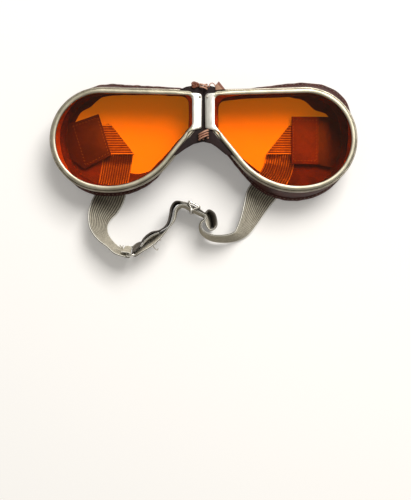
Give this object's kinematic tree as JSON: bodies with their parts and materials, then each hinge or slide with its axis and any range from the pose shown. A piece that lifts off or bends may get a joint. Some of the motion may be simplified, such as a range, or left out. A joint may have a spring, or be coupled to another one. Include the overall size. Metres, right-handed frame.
{
  "type": "aviator flying goggles",
  "caption": "Folding aviator goggles with teardrop amber lenses, metal rims, leather eyecups, a laced nose bridge and an elastic strap with ring and slide.",
  "frame": {"origin": "middle of the underside, on the surface that the face pads rest on", "axes": "+X to the eyepiece with the long strap, +Y to the brow edge, +Z the way the lenses face"},
  "size_m": [0.178, 0.104, 0.0306],
  "materials": {
    "rim_metal": "satin",
    "band_metal": "satin",
    "amber_glass": "gloss",
    "gasket_rubber": "matte",
    "brown_leather": "satin",
    "lace_leather": "matte",
    "pad_leather": "matte",
    "elastic_webbing": "matte",
    "strap_metal": "satin",
    "rivet_metal": "satin"
  },
  "bodies": {
    "right_eyepiece": {"right_rim": "rim_metal", "right_lens_gasket": "gasket_rubber", "right_lens": "amber_glass", "right_clamp_ring": "band_metal", "right_cup": "brown_leather", "right_face_pad": "pad_leather", "right_nose_flap": "brown_leather", "right_nose_rivet": "rivet_metal", "right_strap_tab": "brown_leather", "top_lace": "lace_leather", "bottom_lace": "lace_leather", "top_lace_end": "lace_leather", "long_strap": "elastic_webbing"},
    "left_eyepiece": {"left_rim": "rim_metal", "left_lens_gasket": "gasket_rubber", "left_lens": "amber_glass", "left_clamp_ring": "band_metal", "left_cup": "brown_leather", "left_face_pad": "pad_leather", "left_nose_flap": "brown_leather", "left_nose_rivet": "rivet_metal", "left_strap_tab": "brown_leather", "top_lace_knot": "lace_leather", "short_strap": "elastic_webbing"},
    "ring": {"strap_ring": "strap_metal"},
    "slide": {"strap_slide": "strap_metal"}
  },
  "joints": [
    {"name": "bridge_fold", "type": "hinge", "parent": "right_eyepiece", "child": "left_eyepiece", "pos_m": [0, 0.0161, 0.027], "axis": [0, 1, 0], "range_deg": [-20, 160], "deforming": ["long_strap"]},
    {"name": "ring_swing", "type": "hinge", "parent": "left_eyepiece", "child": "ring", "pos_m": [-0.04402, -0.04809, 0.0117], "axis": [0.039, -0.2215, 0.9744], "range_deg": [-15, 15]},
    {"name": "slide_travel", "type": "slide", "parent": "left_eyepiece", "child": "slide", "axis": [-0.891, 0.454, 0], "range_m": [-0.003, 0.003]}
  ]
}
